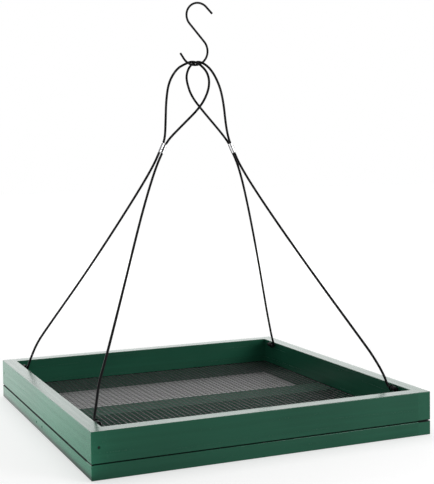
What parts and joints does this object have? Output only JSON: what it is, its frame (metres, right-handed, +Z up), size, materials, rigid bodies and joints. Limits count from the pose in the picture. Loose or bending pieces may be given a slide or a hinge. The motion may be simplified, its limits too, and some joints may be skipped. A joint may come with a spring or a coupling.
{
  "type": "hanging platform bird feeder",
  "caption": "Square green-painted wooden tray with a mesh floor, hung by black cables with crimped loops from a wire S-hook; holds loose bird food.",
  "frame": {"origin": "middle of the tray's footprint, on the plane that the lower strips stand on", "axes": "+Z up, towards the S-hook; -Y is the front rail of the picture; -X is the left side rail"},
  "size_m": [0.3, 0.3, 0.38],
  "materials": {
    "green_wood": "dark green satin paint on planed softwood",
    "black_mesh": "black powder-coated steel mesh",
    "fastener_steel": "plain zinc-plated steel",
    "black_steel": "black coated steel wire and end stops",
    "black_cable": "steel wire rope with a black plastic coat",
    "sleeve_aluminium": "bright pressed aluminium"
  },
  "bodies": {
    "tray": {"upper_front_rail": "green_wood", "upper_right_rail": "green_wood", "upper_back_rail": "green_wood", "upper_left_rail": "green_wood", "lower_front_strip": "green_wood", "lower_right_strip": "green_wood", "lower_back_strip": "green_wood", "lower_left_strip": "green_wood", "cross_slat": "green_wood", "mesh_floor": "black_mesh", "corner_brads": "fastener_steel", "slat_brads": "fastener_steel", "frame_screws": "fastener_steel", "left_front_eye": "black_steel", "left_back_eye": "black_steel", "right_front_eye": "black_steel", "right_back_eye": "black_steel"},
    "left_hanger": {"left_cable": "black_cable", "left_crimp": "sleeve_aluminium", "left_front_stop": "black_steel", "left_back_stop": "black_steel"},
    "right_hanger": {"right_cable": "black_cable", "right_crimp": "sleeve_aluminium", "right_front_stop": "black_steel", "right_back_stop": "black_steel"},
    "hook": {"s_hook": "black_steel"}
  },
  "joints": [
    {"name": "left_cable_fold", "type": "hinge", "parent": "tray", "child": "left_hanger", "pos_m": [-0.13501, 0, 0.03408], "axis": [0, -1, 0], "range_deg": [0, 48]},
    {"name": "right_cable_fold", "type": "hinge", "parent": "tray", "child": "right_hanger", "pos_m": [0.13502, 0, 0.03408], "axis": [0, 1, 0], "range_deg": [0, 48]},
    {"name": "hook_swing", "type": "hinge", "parent": "right_hanger", "child": "hook", "pos_m": [0, 0, 0.3222], "axis": [1, 0, 0], "range_deg": [-40, 40]}
  ]
}
